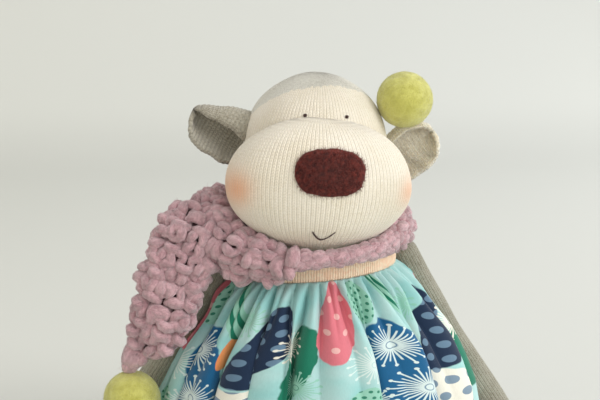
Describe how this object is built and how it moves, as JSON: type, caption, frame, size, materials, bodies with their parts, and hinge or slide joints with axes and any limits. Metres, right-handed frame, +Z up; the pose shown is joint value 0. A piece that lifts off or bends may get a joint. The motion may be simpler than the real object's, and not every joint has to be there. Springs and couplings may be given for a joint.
{
  "type": "stuffed monkey",
  "caption": "Seated hand-sewn knit monkey plush with a round muzzle, felt nose, folded ears, gathered print dress and a chunky scarf with felt balls.",
  "frame": {"origin": "middle of the flat seat under the torso", "axes": "+Z up through the head, the face looks along -Y, +X is the toy's own left hand side"},
  "size_m": [0.2072, 0.2365, 0.1822],
  "materials": {
    "knit_cream": "fine lambswool knit, matt",
    "knit_grey": "fine grey-beige lambswool knit, matt",
    "stuffing": "loose polyester fibre",
    "felt_nose": "fuzzy maroon wool felt",
    "felt_ball": "lime felted wool",
    "thread": "dark sewing thread",
    "yarn_mauve": "chunky mauve roving yarn",
    "cotton_print": "printed teal cotton, matt",
    "rib_peach": "peach ribbed trim"
  },
  "bodies": {
    "torso": {"torso_skin": "knit_cream", "torso_stuffing": "stuffing", "shoulder_thread": "thread", "dress_band": "rib_peach", "dress_skirt": "cotton_print", "scarf_wrap": "yarn_mauve"},
    "neck": {"neck_core": "knit_grey"},
    "head": {"head_skin": "knit_cream", "head_stuffing": "stuffing", "muzzle_skin": "knit_cream", "muzzle_stuffing": "stuffing", "nose_pad": "felt_nose", "mouth_stitches": "thread", "eye_stitches": "thread", "head_ball": "felt_ball"},
    "ear_left": {"ear_left": "knit_grey"},
    "ear_right": {"ear_right": "knit_grey"},
    "scarf_end_front": {"scarf_end_front": "yarn_mauve"},
    "scarf_ball_front": {"scarf_ball_front": "felt_ball"},
    "scarf_end_back": {"scarf_end_back": "yarn_mauve"},
    "scarf_ball_back": {"scarf_ball_back": "felt_ball"},
    "tail": {"tail_skin": "knit_grey", "tail_stuffing": "stuffing"},
    "upper_arm_left": {"upper_arm_left_skin": "knit_grey", "upper_arm_left_stuffing": "stuffing"},
    "upper_arm_right": {"upper_arm_right_skin": "knit_grey", "upper_arm_right_stuffing": "stuffing"},
    "forearm_left": {"forearm_left_skin": "knit_grey", "forearm_left_stuffing": "stuffing"},
    "forearm_right": {"forearm_right_skin": "knit_grey", "forearm_right_stuffing": "stuffing"},
    "thigh_left": {"thigh_left_skin": "knit_grey", "thigh_left_stuffing": "stuffing"},
    "thigh_right": {"thigh_right_skin": "knit_grey", "thigh_right_stuffing": "stuffing"},
    "shin_left": {"shin_left_skin": "knit_grey", "shin_left_stuffing": "stuffing"},
    "shin_right": {"shin_right_skin": "knit_grey", "shin_right_stuffing": "stuffing"}
  },
  "joints": [
    {"name": "neck_turn", "type": "hinge", "parent": "torso", "child": "neck", "pos_m": [0, 0.003, 0.1095], "axis": [0, 0, 1], "range_deg": [-8, 12]},
    {"name": "head_nod", "type": "hinge", "parent": "neck", "child": "head", "pos_m": [0, 0.003, 0.119], "axis": [1, 0, 0], "range_deg": [-15, 2]},
    {"name": "ear_left_fold", "type": "hinge", "parent": "head", "child": "ear_left", "pos_m": [-0.03075, 0.005, 0.1551], "axis": [0.0523, 0, 0.9986], "range_deg": [-25, 20]},
    {"name": "ear_right_fold", "type": "hinge", "parent": "head", "child": "ear_right", "pos_m": [0.03116, 0.005, 0.14787], "axis": [-0.0523, 0, -0.9986], "range_deg": [-25, 20]},
    {"name": "shoulder_left_swing", "type": "hinge", "parent": "torso", "child": "upper_arm_left", "pos_m": [-0.0407, 0.005, 0.1], "axis": [-1, 0, 0], "range_deg": [-50, 0]},
    {"name": "elbow_left_bend", "type": "hinge", "parent": "upper_arm_left", "child": "forearm_left", "pos_m": [-0.06376, 0.005, 0.06252], "axis": [0, 1, 0], "range_deg": [0, 75]},
    {"name": "hip_left_swing", "type": "hinge", "parent": "torso", "child": "thigh_left", "pos_m": [-0.018, -0.0405, 0.009], "axis": [1, 0, 0], "range_deg": [0, 90]},
    {"name": "knee_left_bend", "type": "hinge", "parent": "thigh_left", "child": "shin_left", "pos_m": [-0.0245, -0.084, 0.0086], "axis": [1, 0, 0], "range_deg": [0, 80]},
    {"name": "shoulder_right_swing", "type": "hinge", "parent": "torso", "child": "upper_arm_right", "pos_m": [0.0407, 0.005, 0.1], "axis": [-1, 0, 0], "range_deg": [-50, 100]},
    {"name": "elbow_right_bend", "type": "hinge", "parent": "upper_arm_right", "child": "forearm_right", "pos_m": [0.06376, 0.005, 0.06252], "axis": [0, -1, 0], "range_deg": [0, 75]},
    {"name": "hip_right_swing", "type": "hinge", "parent": "torso", "child": "thigh_right", "pos_m": [0.018, -0.0405, 0.009], "axis": [1, 0, 0], "range_deg": [0, 90]},
    {"name": "knee_right_bend", "type": "hinge", "parent": "thigh_right", "child": "shin_right", "pos_m": [0.0245, -0.084, 0.0086], "axis": [1, 0, 0], "range_deg": [0, 80]},
    {"name": "tail_swing", "type": "hinge", "parent": "torso", "child": "tail", "pos_m": [0, 0.032, 0.0047], "axis": [0, 0, 1], "range_deg": [-25, 25]},
    {"name": "scarf_end_front_lift", "type": "hinge", "parent": "torso", "child": "scarf_end_front", "pos_m": [-0.052, -0.01, 0.112], "axis": [0, 1, 0], "range_deg": [0, 55]},
    {"name": "scarf_ball_front_swing", "type": "hinge", "parent": "scarf_end_front", "child": "scarf_ball_front", "pos_m": [-0.0815, -0.018, 0.0595], "axis": [0, 1, 0], "range_deg": [-15, 40]},
    {"name": "scarf_end_back_lift", "type": "hinge", "parent": "torso", "child": "scarf_end_back", "pos_m": [0.018, 0.043, 0.113], "axis": [1, 0, 0], "range_deg": [0, 60]},
    {"name": "scarf_ball_back_swing", "type": "hinge", "parent": "scarf_end_back", "child": "scarf_ball_back", "pos_m": [0.018, 0.062, 0.076], "axis": [1, 0, 0], "range_deg": [0, 40]}
  ]
}
